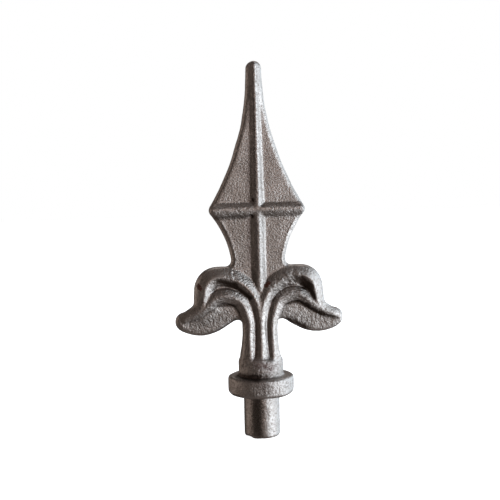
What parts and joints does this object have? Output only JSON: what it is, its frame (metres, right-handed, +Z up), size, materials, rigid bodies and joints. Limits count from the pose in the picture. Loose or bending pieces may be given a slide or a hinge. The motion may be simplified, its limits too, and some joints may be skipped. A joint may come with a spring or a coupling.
{
  "type": "fence spear finial",
  "caption": "Cast iron spear finial for a fence post: a ribbed spear blade over two drooping leaves, on a fluted neck, bell, round collar and a plain spigot.",
  "frame": {"origin": "on the finial's axis, in the plane of the collar's underside, where it sits on the post", "axes": "+Z up along the axis to the spear's tip, +X across the blade and leaves, -Y towards the front face"},
  "size_m": [0.0936, 0.0368, 0.2078],
  "materials": {
    "cast_iron": "raw sand-cast skin, warm grey with fine grain and a few rust spots"
  },
  "bodies": {
    "root": {"spear_finial": "cast_iron"}
  },
  "joints": []
}
